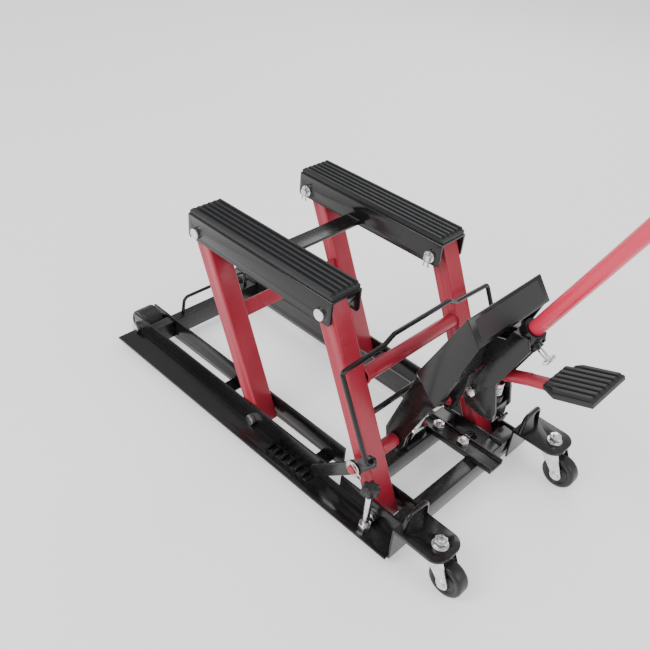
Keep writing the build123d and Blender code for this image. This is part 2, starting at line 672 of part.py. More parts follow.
# ---- safety lock and stabilisers ------------------------------------------
def lock_plate(side):
    """Flat lock plate from the rack, past the trunnion, to the lock rod."""
    def strip(p, q, r):
        """Round-ended strip between two points."""
        dx, dz = q[0] - p[0], q[1] - p[1]
        length = math.hypot(dx, dz)
        nx, nz = -dz / length * r, dx / length * r
        corners = [(p[0] + nx, p[1] + nz), (q[0] + nx, q[1] + nz), (q[0] - nx, q[1] - nz), (p[0] - nx, p[1] - nz)]
        shape = plate_xz(corners, side * 178, side * 182)
        return shape + disc_y(p[0], p[1], side * 178, side * 182, r) + disc_y(q[0], q[1], side * 178, side * 182, r)
    plate = strip(LOCK_END, (TX, TZ), 12) + strip((TX, TZ), LOCK_TOP, 11)
    plate += disc_y(TX, TZ, side * 178, side * 182, 15)
    plate -= disc_y(TX, TZ, side * 170, side * 190, 8 + FIT)
    return plate - disc_y(LOCK_TOP[0], LOCK_TOP[1], side * 170, side * 190, ROD_R + FIT)


def lock_rod():
    """One bent rod across both lock plates, raised in the middle as a grip."""
    x0, z0 = LOCK_TOP
    top_x, top_z = x0 - 72, z0 + 143
    left = [(x0, -172, z0), (x0, -191, z0), (top_x, -191, top_z), (top_x, -94, top_z + 5),
            (top_x, -72, top_z + 17)]
    right = [(x, -y, z) for x, y, z in reversed(left)]
    return bent_rod(left + right, ROD_R, 6)


def stabiliser_screw(side):
    """Levelling screw through the welded nut."""
    screw = disc_z(STABILISER_X, side * STABILISER_Y, 5, 120, SCREW_R)
    return chamfer(screw.edges().group_by(Axis.Z)[0], 1.5)


def stabiliser_knob(side):
    """Star knob on top of the levelling screw."""
    y = side * STABILISER_Y
    knob = disc_z(STABILISER_X, y, 104, 124, 12.5)
    for i in range(6):
        a = math.radians(60 * i)
        knob += disc_z(STABILISER_X + 12.5 * math.cos(a), y + 12.5 * math.sin(a), 107, 123, 4.4)
    return knob - disc_z(STABILISER_X, y, 100, 120, SCREW_R + FIT)


def build_lock_and_stabilisers():
    """Safety lock and the two levelling screws."""
    save("lock_plates", both(lock_plate))
    save("lock_rod", lock_rod())
    for name, side in (("left", -1), ("right", 1)):
        save(f"stabiliser_screw_{name}", stabiliser_screw(side))
        save(f"stabiliser_knob_{name}", stabiliser_knob(side))


build_base()
build_wheels()
build_legs()
build_saddles()
build_pump()
build_lock_and_stabilisers()
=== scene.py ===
# %% [markdown]
# # A foot-pumped lift jack in black and red
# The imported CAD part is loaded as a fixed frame. Sheet steel, tubes and pins keep their CAD shape
# and get softened edges and painted or plated finishes. Rubber, wheels, knobs, springs and welds
# are new surfaces, worked out on grids of two numbers, because their rounding and grain is what
# the eye reads first.

# %% Load the frame
import json
import math
import bpy
import bmesh
import numpy as np
from mathutils import Matrix, Vector


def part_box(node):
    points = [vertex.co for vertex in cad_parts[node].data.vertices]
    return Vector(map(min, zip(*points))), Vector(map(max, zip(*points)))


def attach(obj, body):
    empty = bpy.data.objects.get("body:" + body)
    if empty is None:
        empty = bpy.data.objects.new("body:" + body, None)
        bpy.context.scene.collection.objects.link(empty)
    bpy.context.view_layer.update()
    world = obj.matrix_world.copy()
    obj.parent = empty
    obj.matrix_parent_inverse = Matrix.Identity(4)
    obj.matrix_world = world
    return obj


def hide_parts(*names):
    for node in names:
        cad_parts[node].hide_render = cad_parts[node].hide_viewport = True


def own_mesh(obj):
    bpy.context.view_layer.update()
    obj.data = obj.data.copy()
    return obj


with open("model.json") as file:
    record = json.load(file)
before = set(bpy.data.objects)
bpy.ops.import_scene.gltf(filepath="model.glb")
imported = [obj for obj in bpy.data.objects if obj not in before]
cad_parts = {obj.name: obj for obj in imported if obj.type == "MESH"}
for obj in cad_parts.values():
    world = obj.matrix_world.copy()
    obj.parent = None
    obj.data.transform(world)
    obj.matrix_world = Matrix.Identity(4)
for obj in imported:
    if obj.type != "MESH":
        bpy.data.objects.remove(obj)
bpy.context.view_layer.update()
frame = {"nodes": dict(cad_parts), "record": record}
nodes = frame["nodes"]

# %% [markdown]
# ## Node groups
# An effect that several finishes share is built once as a node group. Each group takes the object
# coordinates and a few amounts, and gives back masks and heights. The shader itself stays in the
# material, so that a finish can decide what a mask means.


# %% A small helper for shader groups
def start_group(name, inputs, outputs):
    """Make a shader group with named inputs (name, kind, default) and float outputs."""
    tree = bpy.data.node_groups.new(name, "ShaderNodeTree")
    for label, kind, default in inputs:
        socket = tree.interface.new_socket(name=label, in_out="INPUT", socket_type=kind)
        if default is not None:
            socket.default_value = default
    for label in outputs:
        tree.interface.new_socket(name=label, in_out="OUTPUT", socket_type="NodeSocketFloat")
    return tree, tree.nodes.new("NodeGroupInput"), tree.nodes.new("NodeGroupOutput")


def noise(tree, vector, scale, detail=3.0, rough=0.55):
    """Noise texture read at a vector socket."""
    node = tree.nodes.new("ShaderNodeTexNoise")
    node.inputs["Detail"].default_value = detail
    node.inputs["Roughness"].default_value = rough
    tree.links.new(vector, node.inputs["Vector"])
    if hasattr(scale, "is_output"):
        tree.links.new(scale, node.inputs["Scale"])
    else:
        node.inputs["Scale"].default_value = scale
    return node.outputs["Fac"]


def remap(tree, value, low, high, to_low=0.0, to_high=1.0):
    """Stretch the part of a value between low and high to a new range, clamped."""
    node = tree.nodes.new("ShaderNodeMapRange")
    node.interpolation_type = "SMOOTHSTEP"
    tree.links.new(value, node.inputs["Value"])
    for label, number in (("From Min", low), ("From Max", high), ("To Min", to_low), ("To Max", to_high)):
        node.inputs[label].default_value = number
    return node.outputs["Result"]


def sums(tree, operation, a, b):
    """Math node on two sockets or numbers."""
    node = tree.nodes.new("ShaderNodeMath")
    node.operation = operation
    for i, value in enumerate((a, b)):
        if hasattr(value, "is_output"):
            tree.links.new(value, node.inputs[i])
        else:
            node.inputs[i].default_value = value
    return node.outputs[0]


# %% [markdown]
# ### Painted skin
# Sprayed paint on welded steel has a faint orange peel, a slow drift in tone, a little dust on
# the faces that look up, and a few small chips where an edge was knocked. The chips are found with the
# surface's pointiness, broken up by noise so that no edge wears evenly.


# %% The paint group
def make_paint_group():
    """Peel height, tone drift, dust on upward faces and chips on convex edges."""
    tree, into, out = start_group(
        "painted_skin",
        [("Coordinates", "NodeSocketVector", None), ("Peel Scale", "NodeSocketFloat", 420.0),
         ("Dust", "NodeSocketFloat", 0.5), ("Chips", "NodeSocketFloat", 0.5)],
        ["Height", "Tone", "Dust", "Chip", "Scuff"])
    where = into.outputs["Coordinates"]
    peel = noise(tree, where, into.outputs["Peel Scale"], 2.0)
    tone = noise(tree, where, 11.0, 4.0)
    geometry = tree.nodes.new("ShaderNodeNewGeometry")
    split = tree.nodes.new("ShaderNodeSeparateXYZ")
    tree.links.new(geometry.outputs["Normal"], split.inputs[0])
    upward = remap(tree, split.outputs["Z"], 0.35, 1.0)
    speckle = remap(tree, noise(tree, where, 160.0, 6.0, 0.7), 0.42, 0.72)
    drift = remap(tree, noise(tree, where, 18.0, 3.0), 0.35, 0.7)
    dust = sums(tree, "MULTIPLY", sums(tree, "MULTIPLY", speckle, drift), upward)
    dust = sums(tree, "MULTIPLY", dust, into.outputs["Dust"])
    edge = remap(tree, geometry.outputs["Pointiness"], 0.53, 0.60)
    broken = remap(tree, noise(tree, where, 95.0, 5.0, 0.65), 0.56, 0.66)
    chip = sums(tree, "MULTIPLY", sums(tree, "MULTIPLY", edge, broken), into.outputs["Chips"])
    scratch = tree.nodes.new("ShaderNodeTexNoise")
    stretch = tree.nodes.new("ShaderNodeMapping")
    stretch.inputs["Scale"].default_value = (6.0, 60.0, 260.0)
    stretch.inputs["Rotation"].default_value = (0.3, 0.5, 0.2)
    tree.links.new(where, stretch.inputs["Vector"])
    tree.links.new(stretch.outputs["Vector"], scratch.inputs["Vector"])
    scratch.inputs["Scale"].default_value = 3.0
    scuff = remap(tree, scratch.outputs["Fac"], 0.62, 0.72)
    for label, value in (("Height", peel), ("Tone", tone), ("Dust", dust), ("Chip", chip), ("Scuff", scuff)):
        tree.links.new(value, out.inputs[label])
    return tree


# %% [markdown]
# ### Metal grain and rubber bloom
# Zinc plate has a fine spangle and cloudy patches of brighter and duller metal. Rubber and moulded
# plastic have a pebbled skin and a pale bloom in random patches.


# %% The metal group and the moulded group
def make_metal_group():
    """Fine grain, cloudy brightness, and darker concave hollows and random stains for plated and polished
    metal.
    """
    tree, into, out = start_group(
        "metal_grain",
        [("Coordinates", "NodeSocketVector", None), ("Grain Scale", "NodeSocketFloat", 900.0)],
        ["Height", "Cloud", "Dark Hollows And Stains"])
    where = into.outputs["Coordinates"]
    grain = noise(tree, where, into.outputs["Grain Scale"], 3.0)
    cloud = noise(tree, where, 75.0, 4.0)
    geometry = tree.nodes.new("ShaderNodeNewGeometry")
    # Darker in the concave hollows, where the pointiness is low, and at random stains drawn from noise.
    hollow = remap(tree, geometry.outputs["Pointiness"], 0.40, 0.49, 1.0, 0.0)
    spots = remap(tree, noise(tree, where, 130.0, 5.0), 0.55, 0.75)
    dark_hollows_and_stains = sums(tree, "MAXIMUM", hollow, sums(tree, "MULTIPLY", spots, 0.5))
    for label, value in (("Height", grain), ("Cloud", cloud), ("Dark Hollows And Stains", dark_hollows_and_stains)):
        tree.links.new(value, out.inputs[label])
    return tree


def make_moulded_group():
    """Pebble height, pale bloom and worn tops for rubber and moulded plastic."""
    tree, into, out = start_group(
        "moulded_skin",
        [("Coordinates", "NodeSocketVector", None), ("Pebble Scale", "NodeSocketFloat", 700.0)],
        ["Height", "Bloom", "Wear"])
    where = into.outputs["Coordinates"]
    pebble = noise(tree, where, into.outputs["Pebble Scale"], 4.0, 0.6)
    patch = remap(tree, noise(tree, where, 26.0, 4.0), 0.40, 0.72)
    fine = remap(tree, noise(tree, where, 230.0, 5.0, 0.7), 0.40, 0.70)
    bloom = sums(tree, "MULTIPLY", patch, fine)
    geometry = tree.nodes.new("ShaderNodeNewGeometry")
    wear = remap(tree, geometry.outputs["Pointiness"], 0.515, 0.58)
    for label, value in (("Height", pebble), ("Bloom", bloom), ("Wear", wear)):
        tree.links.new(value, out.inputs[label])
    return tree


PAINT_GROUP = make_paint_group()
METAL_GROUP = make_metal_group()
MOULDED_GROUP = make_moulded_group()
print("groups", [g.name for g in bpy.data.node_groups])


# %% [markdown]
# ## Finishes
# Each finish is a Principled shader fed by one of the groups. Numbers that are the same all over
# the surface sit on the shader's own sockets.


# %% Helpers that build a finish
def start_finish(name, group, amounts):
    """New material with a shader, object coordinates and one of the groups."""
    material = bpy.data.materials.new(name)
    material.use_nodes = True
    tree = material.node_tree
    shader = tree.nodes["Principled BSDF"]
    where = tree.nodes.new("ShaderNodeTexCoord").outputs["Object"]
    effect = tree.nodes.new("ShaderNodeGroup")
    effect.node_tree = group
    tree.links.new(where, effect.inputs["Coordinates"])
    for label, number in amounts.items():
        effect.inputs[label].default_value = number
    return material, tree, shader, effect


def blend_colour(tree, factor, first, second):
    """Colour that goes from the first to the second by a factor."""
    node = tree.nodes.new("ShaderNodeMix")
    node.data_type = "RGBA"
    tree.links.new(factor, node.inputs["Factor"])
    for socket, value in ((node.inputs[6], first), (node.inputs[7], second)):
        if hasattr(value, "is_output"):
            tree.links.new(value, socket)
        else:
            socket.default_value = (*value, 1.0)
    return node.outputs[2]


def add_bump(tree, shader, height, distance, strength):
    """Bump from a height, in metres."""
    bump = tree.nodes.new("ShaderNodeBump")
    bump.inputs["Distance"].default_value = distance
    bump.inputs["Strength"].default_value = strength
    tree.links.new(height, bump.inputs["Height"])
    tree.links.new(bump.outputs["Normal"], shader.inputs["Normal"])


def paint(name, colour, deep, rough, dust, chips, peel, metal=(0.30, 0.29, 0.28)):
    """Sprayed paint: tone drift between two colours, dust, scuffs and chips to bare metal."""
    material, tree, shader, skin = start_finish(
        name, PAINT_GROUP, {"Peel Scale": 420.0, "Dust": dust, "Chips": chips})
    drift = remap(tree, skin.outputs["Tone"], 0.3, 0.7)
    base = blend_colour(tree, drift, deep, colour)
    base = blend_colour(tree, skin.outputs["Dust"], base, (0.36, 0.33, 0.30))
    base = blend_colour(tree, skin.outputs["Chip"], base, metal)
    tree.links.new(base, shader.inputs["Base Color"])
    dull = sums(tree, "MULTIPLY", skin.outputs["Dust"], 0.5)
    scuffed = sums(tree, "MULTIPLY", skin.outputs["Scuff"], 0.10)
    spread = remap(tree, skin.outputs["Tone"], 0.3, 0.7, rough - 0.04, rough + 0.06)
    roughness = sums(tree, "ADD", sums(tree, "ADD", spread, dull), scuffed)
    tree.links.new(roughness, shader.inputs["Roughness"])
    bare = sums(tree, "MULTIPLY", skin.outputs["Chip"], 0.8)
    tree.links.new(bare, shader.inputs["Metallic"])
    shader.inputs["Coat Weight"].default_value = 0.12
    shader.inputs["Specular IOR Level"].default_value = 0.4
    shader.inputs["Coat Roughness"].default_value = 0.12
    worn = sums(tree, "SUBTRACT", skin.outputs["Height"], skin.outputs["Chip"])
    add_bump(tree, shader, worn, 0.0002, peel)
    return material


def plated(name, bright, dull, rough, grain_scale, strength, dark_hollows_and_stains=(0.20, 0.18, 0.15)):
    """Plated or polished metal with cloudy patches, darker in the concave hollows and at random stains."""
    material, tree, shader, skin = start_finish(name, METAL_GROUP, {"Grain Scale": grain_scale})
    cloud = remap(tree, skin.outputs["Cloud"], 0.3, 0.7)
    base = blend_colour(tree, cloud, dull, bright)
    # The colour goes darker and browner, and rougher, in the concave hollows and at the random stains.
    dark_hollow_and_stain_amount = sums(tree, "MULTIPLY", skin.outputs["Dark Hollows And Stains"], 0.18)
    base = blend_colour(tree, dark_hollow_and_stain_amount, base, dark_hollows_and_stains)
    tree.links.new(base, shader.inputs["Base Color"])
    shader.inputs["Metallic"].default_value = 1.0
    spread = remap(tree, skin.outputs["Cloud"], 0.3, 0.7, rough + 0.08, rough - 0.05)
    tree.links.new(sums(tree, "ADD", spread, sums(tree, "MULTIPLY", dark_hollow_and_stain_amount, 0.4)), shader.inputs["Roughness"])
    add_bump(tree, shader, skin.outputs["Height"], 0.00012, strength)
    return material


def moulded(name, colour, bloom, rough, pebble_scale, strength, bloom_amount):
    """Rubber or plastic with a pebbled skin, pale bloom and rubbed edges."""
    material, tree, shader, skin = start_finish(name, MOULDED_GROUP, {"Pebble Scale": pebble_scale})
    amount = sums(tree, "MULTIPLY", skin.outputs["Bloom"], bloom_amount)
    base = blend_colour(tree, amount, colour, bloom)
    rubbed = sums(tree, "MULTIPLY", skin.outputs["Wear"], 0.35)
    base = blend_colour(tree, rubbed, base, bloom)
    tree.links.new(base, shader.inputs["Base Color"])
    spread = remap(tree, skin.outputs["Bloom"], 0.0, 1.0, rough, min(1.0, rough + 0.2))
    tree.links.new(spread, shader.inputs["Roughness"])
    shader.inputs["Specular IOR Level"].default_value = 0.45
    add_bump(tree, shader, skin.outputs["Height"], 0.0003, strength)
    return material


# %% The finishes of this jack
FINISH = {
    "black_paint": paint("gloss_black_paint", (0.011, 0.0105, 0.0105), (0.007, 0.0065, 0.0065),
                         0.22, 0.04, 0.10, 0.30),
    "red_paint": paint("red_leg_paint", (0.43, 0.026, 0.050), (0.38, 0.021, 0.042),
                       0.31, 0.05, 0.16, 0.40),
    "handle_red_paint": paint("red_handle_paint", (0.76, 0.040, 0.092), (0.73, 0.037, 0.085),
                              0.28, 0.03, 0.10, 0.30),
    "zinc_plate": plated("bright_zinc_plate", (0.82, 0.82, 0.83), (0.66, 0.66, 0.67), 0.25, 900.0, 0.4),
    "chrome_rod": plated("ground_chrome", (0.80, 0.80, 0.82), (0.66, 0.67, 0.69), 0.12, 1500.0, 0.2),
    "ribbed_rubber": moulded("black_ribbed_rubber", (0.009, 0.0095, 0.011), (0.040, 0.042, 0.046),
                             0.50, 750.0, 0.6, 0.25),
    "wheel_plastic": moulded("black_wheel_rubber", (0.014, 0.014, 0.015), (0.060, 0.058, 0.055),
                             0.36, 500.0, 0.4, 0.4),
    "knob_plastic": moulded("black_knob_plastic", (0.020, 0.021, 0.023), (0.080, 0.080, 0.085),
                            0.42, 1100.0, 0.5, 0.35),
}
WELD = paint("black_weld", (0.022, 0.022, 0.024), (0.014, 0.014, 0.015), 0.34, 0.3, 0.0, 0.6)
RED_WELD = paint("red_weld", (0.40, 0.025, 0.046), (0.32, 0.018, 0.035), 0.40, 0.06, 0.0, 0.8)
LABEL = moulded("blank_label_film", (0.024, 0.025, 0.027), (0.036, 0.037, 0.039), 0.42, 300.0, 0.1, 0.4)
print("finishes", sorted(FINISH))

# %% [markdown]
# ## CAD pieces: softened edges
# Pressed and sawn steel never has a perfectly sharp edge, and it is the thin line of light along
# an edge that makes metal look solid. The imported mesh is loose triangles, so a Weld modifier
# joins them, Decimate removes the lines inside flat faces, and Bevel rounds what is left sharp.

# %% Give every CAD node its finish and its edges
EDGE_WIDTH = {
    "outer_rails": 0.0012, "inner_rails": 0.0010, "front_cross_member": 0.0020, "middle_cross_member": 0.0020,
    "rear_cross_member": 0.0020, "rail_spacers": 0.0010, "lock_racks": 0.0008, "caster_brackets": 0.0014,
    "saddle_channel_left": 0.0012, "saddle_channel_right": 0.0012, "saddle_link_bar": 0.0010,
    "front_leg_cross_bar": 0.0012, "pump_arms": 0.0011, "pump_cover": 0.0013, "pump_crosshead": 0.0010,
    "pump_bracket": 0.0011, "pump_block": 0.0012, "lock_plates": 0.0010, "tongue_channel": 0.0010,
    "ram_foot_bracket": 0.0010, "frame_bolts": 0.0008, "frame_nuts": 0.0008, "caster_bolts": 0.0008,
    "saddle_pins": 0.0006, "caster_fork_left": 0.0007, "caster_fork_right": 0.0007, "pedal_bolt": 0.0007,
    "caster_axle_left": 0.0006, "caster_axle_right": 0.0006, "handle_socket": 0.0009, "lift_cylinder": 0.0010,
    "ram": 0.0008, "cylinder_pin": 0.0008, "leg_trunnions": 0.0010, "thumb_bolt": 0.0005,
    "front_leg_left": 0.0008, "front_leg_right": 0.0008, "rear_leg_left": 0.0008, "rear_leg_right": 0.0008,
    "release_valve": 0.0006, "plunger": 0.0006, "pedal_arm": 0.0008, "lock_clips": 0.0003,
}
slot_of = {part["node"]: part["material_slot"] for part in frame["record"]["subparts"]}


def soften(piece, width):
    """Join, clean and round the sharp edges of a CAD node, and shade it smoothly."""
    piece.data.polygons.foreach_set("use_smooth", np.ones(len(piece.data.polygons), bool))
    join = piece.modifiers.new("join", "WELD")
    join.merge_threshold = 1e-6
    clean = piece.modifiers.new("clean", "DECIMATE")
    clean.decimate_type = "DISSOLVE"
    clean.angle_limit = math.radians(0.6)
    edge = piece.modifiers.new("edge", "BEVEL")
    edge.width = width
    edge.segments = 2
    edge.limit_method = "ANGLE"
    edge.angle_limit = math.radians(33)
    edge.harden_normals = True
    edge.use_clamp_overlap = True


for name, piece in nodes.items():
    piece.data.materials.clear()
    piece.data.materials.append(FINISH[slot_of[name]])
    soften(piece, EDGE_WIDTH.get(name, 0.0004))
print("softened", len(nodes))

# %% [markdown]
# ## Surfaces on a grid
# Every new piece is a grid of points, one row per step along a path and one column per step round
# a profile. A closed profile wraps at its last column. The ends are closed with one face each.


# %% Turn a grid of points into a piece
def grid_piece(name, points, wrap_rows=False, caps=True):
    """Mesh from points of shape (rows, columns, 3): neighbours make a face, columns always wrap."""
    rows, columns = points.shape[:2]
    index = np.arange(rows * columns).reshape(rows, columns)
    down = np.roll(index, -1, 0) if wrap_rows else index[1:]
    top = index if wrap_rows else index[:-1]
    faces = np.stack([top, np.roll(top, -1, 1), np.roll(down, -1, 1), down], -1).reshape(-1, 4).tolist()
    if caps and not wrap_rows:
        faces.append(index[0].tolist()[::-1])
        faces.append(index[-1].tolist())
    mesh = bpy.data.meshes.new(name)
    mesh.from_pydata(points.reshape(-1, 3).tolist(), [], faces)
    shell = bmesh.new()
    shell.from_mesh(mesh)
    bmesh.ops.recalc_face_normals(shell, faces=shell.faces)
    shell.to_mesh(mesh)
    shell.free()
    smooth = np.ones(len(mesh.polygons), bool)
    if caps and not wrap_rows:
        smooth[-2:] = False
    mesh.polygons.foreach_set("use_smooth", smooth)
    piece = bpy.data.objects.new(name, mesh)
    bpy.context.collection.objects.link(piece)
    return piece


def turned(name, centre, axis, radii, steps, around=96, closed=True):
    """Profile of radius against distance along an axis, turned once round it.
    A point is centre + axis * step + radius * (side * cos a + up * sin a)."""
    axis = np.array(axis, float)
    axis /= np.linalg.norm(axis)
    side = np.cross(axis, (0.0, 0.0, 1.0) if abs(axis[2]) < 0.9 else (1.0, 0.0, 0.0))
    side /= np.linalg.norm(side)
    up = np.cross(axis, side)
    a = np.linspace(0, 2 * math.pi, around, endpoint=False)
    ring = np.cos(a)[:, None] * side + np.sin(a)[:, None] * up
    radii, steps = np.array(radii, float), np.array(steps, float)
    points = np.array(centre) + steps[:, None, None] * axis + radii[:, None, None] * ring[None]
    return grid_piece(name, points, wrap_rows=closed, caps=not closed)


def tube_along(name, path, radius, around=16, closed=False):
    """Circle of a given radius carried along a path of points. The frame at each point is the
    path's direction and two sides, the first side being carried on from the point before."""
    path = np.array(path, float)
    ahead = np.roll(path, -1, 0) - np.roll(path, 1, 0)
    if not closed:
        ahead[0], ahead[-1] = path[1] - path[0], path[-1] - path[-2]
    ahead /= np.linalg.norm(ahead, axis=1)[:, None]
    side = np.cross(ahead[0], (0.0, 0.0, 1.0) if abs(ahead[0][2]) < 0.9 else (1.0, 0.0, 0.0))
    sides = []
    for direction in ahead:
        side = side - direction * np.dot(side, direction)
        side /= np.linalg.norm(side)
        sides.append(side)
    sides = np.array(sides)
    ups = np.cross(ahead, sides)
    a = np.linspace(0, 2 * math.pi, around, endpoint=False)
    radius = np.broadcast_to(np.array(radius, float).reshape(-1, 1, 1), (len(path), 1, 1))
    points = path[:, None] + radius * (np.cos(a)[None, :, None] * sides[:, None]
                                       + np.sin(a)[None, :, None] * ups[:, None])
    return grid_piece(name, points, wrap_rows=closed, caps=not closed)


def finish_piece(piece, finish, body, slot, *replaced):
    """Give a new piece its finish, its body and the nodes it stands for; the slot is not used."""
    piece.data.materials.append(finish)
    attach(piece, body)
    if replaced:
        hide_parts(*replaced)
    return piece


# %% [markdown]
# ## Saddle pads
# Each saddle carries a rubber pad with six ribs along it. The real ribs have rounded tops and
# hollow valleys, and stop short of the pad's ends. One cross profile of the pad is carried along
# X, and the rib height fades out over the last few millimetres.


# %% A ribbed pad
def rib_wave(y, first, pitch, count, width):
    """1 on a rib and 0 in a valley, with rounded shoulders: a clipped, smoothed distance to the
    nearest rib centre."""
    centres = first + pitch * np.arange(count)
    away = np.abs(y[..., None] - centres).min(-1)
    t = np.clip((width / 2 + 0.0004 - away) / 0.0016, 0, 1)
    return t * t * (3 - 2 * t)


def saddle_pad(side_name):
    """Loop at each x: along the bottom, up the side, over the ribs and down again."""
    node = f"saddle_pad_{side_name}"
    low, high = (np.array(corner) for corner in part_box(node))
    rib_height, base_top = 0.004, high[2] - 0.004
    ends = np.array([0, 0.0004, 0.0012, 0.0025, 0.004, 0.0048, 0.0056, 0.0064, 0.0075, 0.012])
    length = high[0] - low[0]
    x = np.concatenate([ends, np.linspace(0.02, length - 0.02, 24), (length - ends)[::-1]])
    inset = 0.0016 * (1 - np.sqrt(np.clip(np.minimum(x, length - x) / 0.0016, 0, 1)))
    fade = np.clip((np.minimum(x, length - x) - 0.0035) / 0.0028, 0, 1)
    fade = fade * fade * (3 - 2 * fade)
    t = np.linspace(-1, 1, 260)
    middle, half = (low[1] + high[1]) / 2, (high[1] - low[1]) / 2
    pitch = (2 * half - 0.0065) / 5
    top_y = middle + t * (half - 0.0008)
    wave = rib_wave(top_y, middle - half + 0.00325, pitch, 6, 0.0056)
    points = np.zeros((len(x), len(t) + 4, 3))
    points[..., 0] = (low[0] + x)[:, None]
    shrink = (half - inset)[:, None] / half
    loop_y = np.concatenate([top_y, [middle + half, middle + half, middle - half, middle - half]])
    points[..., 1] = middle + (loop_y - middle)[None] * shrink
    crown = base_top - 0.0004 + rib_height * wave[None] * fade[:, None] + 0.0004 * fade[:, None]
    points[:, :len(t), 2] = crown - (inset * 0.6)[:, None]
    shoulder = base_top - 0.0012 - inset * 0.6
    points[:, len(t), 2] = shoulder
    points[:, len(t) + 1, 2] = low[2]
    points[:, len(t) + 2, 2] = low[2]
    points[:, len(t) + 3, 2] = shoulder
    pad = grid_piece(f"ribbed_pad_{side_name}", points)
    return finish_piece(pad, FINISH["ribbed_rubber"], "saddle", "ribbed_rubber", node)


for side_name in ("left", "right"):
    pad = saddle_pad(side_name)
    print(pad.name, len(pad.data.polygons))

# %% [markdown]
# ## Foot pad
# The pedal's pad is the same rubber, tapered towards the pump, with ribs along it. It is worked
# out flat and then tilted to the pedal plate. Its height is the pad's base plus the rib wave, and
# both fade towards the tapered outline so that the ribs end in a rounded lip.

# %% The tapered foot pad
PAD_SLOPE = math.radians(20.0)


def foot_pad():
    """Loop at each x with half width w(x): a top row of ribs scaled to w, and a flat underside."""
    low, high = (np.array(corner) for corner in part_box("pedal_pad"))
    c, s = math.cos(PAD_SLOPE), math.sin(PAD_SLOPE)
    x = np.concatenate([[-0.043, -0.0427, -0.042, -0.041], np.linspace(-0.0395, 0.0405, 64),
                        [0.042, 0.0432, 0.0438, 0.044]])
    half = np.interp(x, [-0.043, -0.016, 0.044], [0.028, 0.047, 0.047])
    end = np.clip(np.minimum(x + 0.043, 0.044 - x) / 0.002, 0, 1)
    t = np.linspace(-1, 1, 240)
    y = t[None] * (half - 0.0012)[:, None]
    wave = rib_wave(y, -0.039, 0.013, 7, 0.0088)
    rim = np.clip((half[:, None] - 0.001 - np.abs(y)) / 0.003, 0, 1)
    fade = np.clip((np.minimum(x + 0.043, 0.044 - x) - 0.0015) / 0.003, 0, 1)[:, None]
    top = 0.0132 + 0.0043 * wave * rim * fade - 0.002 * (1 - np.sqrt(end))[:, None]
    columns = len(t) + 4
    flat = np.zeros((len(x), columns, 3))
    flat[..., 0] = x[:, None]
    flat[:, :len(t), 1] = y
    flat[:, :len(t), 2] = top
    for i, (sign, height) in enumerate(((1, 0.0115), (1, 0.005), (-1, 0.005), (-1, 0.0115))):
        flat[:, len(t) + i, 1] = sign * half
        flat[:, len(t) + i, 2] = height
    tilted = flat.copy()
    tilted[..., 0] = c * flat[..., 0] - s * flat[..., 2]
    tilted[..., 2] = s * flat[..., 0] + c * flat[..., 2]
    reach = tilted.reshape(-1, 3)
    shift = (low + high) / 2 - (reach.min(0) + reach.max(0)) / 2
    pad = grid_piece("ribbed_foot_pad", tilted + shift)
    return finish_piece(pad, FINISH["ribbed_rubber"], "pedal", "ribbed_rubber", "pedal_pad")


print("foot pad", len(foot_pad().data.polygons), "faces")

# %% [markdown]
# ## Rollers and wheels
# A wheel is a closed profile turned round its axle, so its bore needs no cap. The caster wheel has
# a crowned tread, a stepped web and a hub. The front roller is a drum with shallow grooves.


# %% Turned wheels
def rounded(radius_out, half_width, corner, steps=7):
    """Half circle fans at both edges of a tread: radius and distance of each point."""
    a = np.linspace(0, math.pi / 2, steps)
    first_r = radius_out - corner + corner * np.sin(a)
    first_y = -half_width + corner - corner * np.cos(a)
    return (np.concatenate([first_r, first_r[::-1]]), np.concatenate([first_y, -first_y[::-1]]))


def caster_wheel(side_name):
    """Tread, web and hub in one closed profile."""
    node = f"caster_wheel_{side_name}"
    low, high = (np.array(corner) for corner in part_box(node))
    centre = (low + high) / 2
    outer, half = (high[2] - low[2]) / 2, (high[1] - low[1]) / 2
    tread = half - 0.0025
    r, y = rounded(outer, tread, 0.0055)
    inner_r = [outer - 0.0095, outer - 0.0100, outer - 0.0135, 0.0110, 0.0100, 0.0094, 0.0044]
    inner_y = [tread, tread - 0.0012, tread - 0.0030, tread - 0.0030, tread + 0.0010, half, half]
    r = np.concatenate([r, inner_r, inner_r[::-1]])
    y = np.concatenate([y, inner_y, -np.array(inner_y[::-1])])
    wheel = turned(f"wheel_{side_name}", centre, (0, 1, 0), r, y, 120)
    return finish_piece(wheel, FINISH["wheel_plastic"], f"wheel_{side_name}", "wheel_plastic", node)


def front_roller(side_name):
    """Drum with eight shallow grooves and rounded edges."""
    node = f"front_roller_{side_name}"
    low, high = (np.array(corner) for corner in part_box(node))
    centre = (low + high) / 2
    outer, half = (high[2] - low[2]) / 2, (high[1] - low[1]) / 2
    edge_r, edge_y = rounded(outer, half, 0.003)
    y = np.linspace(-half + 0.0035, half - 0.0035, 150)
    groove = np.clip(np.cos(y / (half - 0.0035) * math.pi * 5) * 2.2 - 0.9, 0, 1)
    r = outer - 0.0013 * groove
    seven = len(edge_r) // 2
    face_r = [outer - 0.006, outer - 0.0065, 0.012, 0.0115, 0.0064]
    face_y = [half, half - 0.0012, half - 0.0012, half, half]
    radii = np.concatenate([edge_r[:seven], r, edge_r[seven:], face_r, face_r[::-1]])
    steps = np.concatenate([edge_y[:seven], y, edge_y[seven:], face_y, -np.array(face_y[::-1])])
    roller = turned(f"grooved_roller_{side_name}", centre, (0, 1, 0), radii, steps, 120)
    return finish_piece(roller, FINISH["wheel_plastic"], f"roller_{side_name}", "wheel_plastic", node)


for side_name in ("left", "right"):
    print(caster_wheel(side_name).name, front_roller(side_name).name)

# %% [markdown]
# ## Knobs
# The levelling screws are turned by six-lobed plastic knobs. The radius is the product of a
# domed profile and a lobe wave round the axis, and the top closes in a small dished face.


